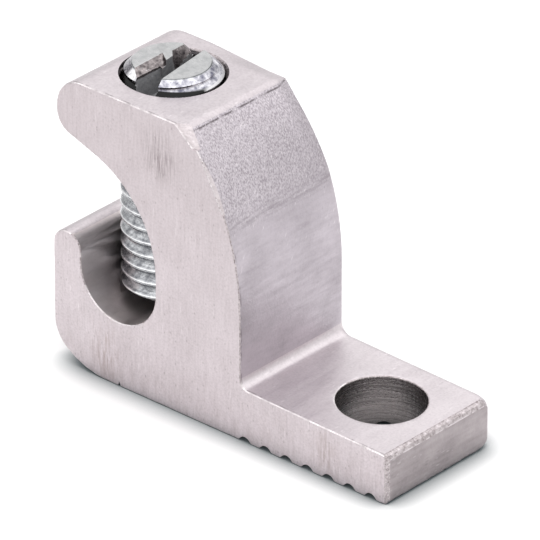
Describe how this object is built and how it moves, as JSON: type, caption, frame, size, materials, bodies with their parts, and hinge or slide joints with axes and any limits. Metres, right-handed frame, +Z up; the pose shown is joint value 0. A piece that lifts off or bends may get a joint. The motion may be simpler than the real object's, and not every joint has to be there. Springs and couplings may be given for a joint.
{
  "type": "mechanical lug",
  "caption": "Lay-in grounding lug: an aluminium extrusion with an open wire channel, a slotted clamp screw through its head and a tongue with a bolt hole and serrated underside.",
  "frame": {"origin": "on the axis of the mounting hole, in the plane of the base that the lug rests and is bolted on", "axes": "+X along the tongue, from the wire clamp towards the tongue's free end; +Y across the width, along the wire channel, from the sharp cut face to the one with the rolled edge; +Z up, along the mounting hole and the clamp screw"},
  "size_m": [0.0267, 0.0096, 0.0204],
  "materials": {
    "lug_aluminium": "extruded and sawn, matte, lightly scuffed, with bright worn edges",
    "screw_zinc": "zinc plated steel, semi-bright, with a chewed slot"
  },
  "bodies": {
    "lug": {"lug_body": "lug_aluminium"},
    "screw": {"set_screw": "screw_zinc"}
  },
  "joints": [
    {"name": "screw_travel", "type": "slide", "parent": "lug", "child": "screw", "axis": [0, 0, 1], "range_m": [-0.0004, 0.01]}
  ]
}
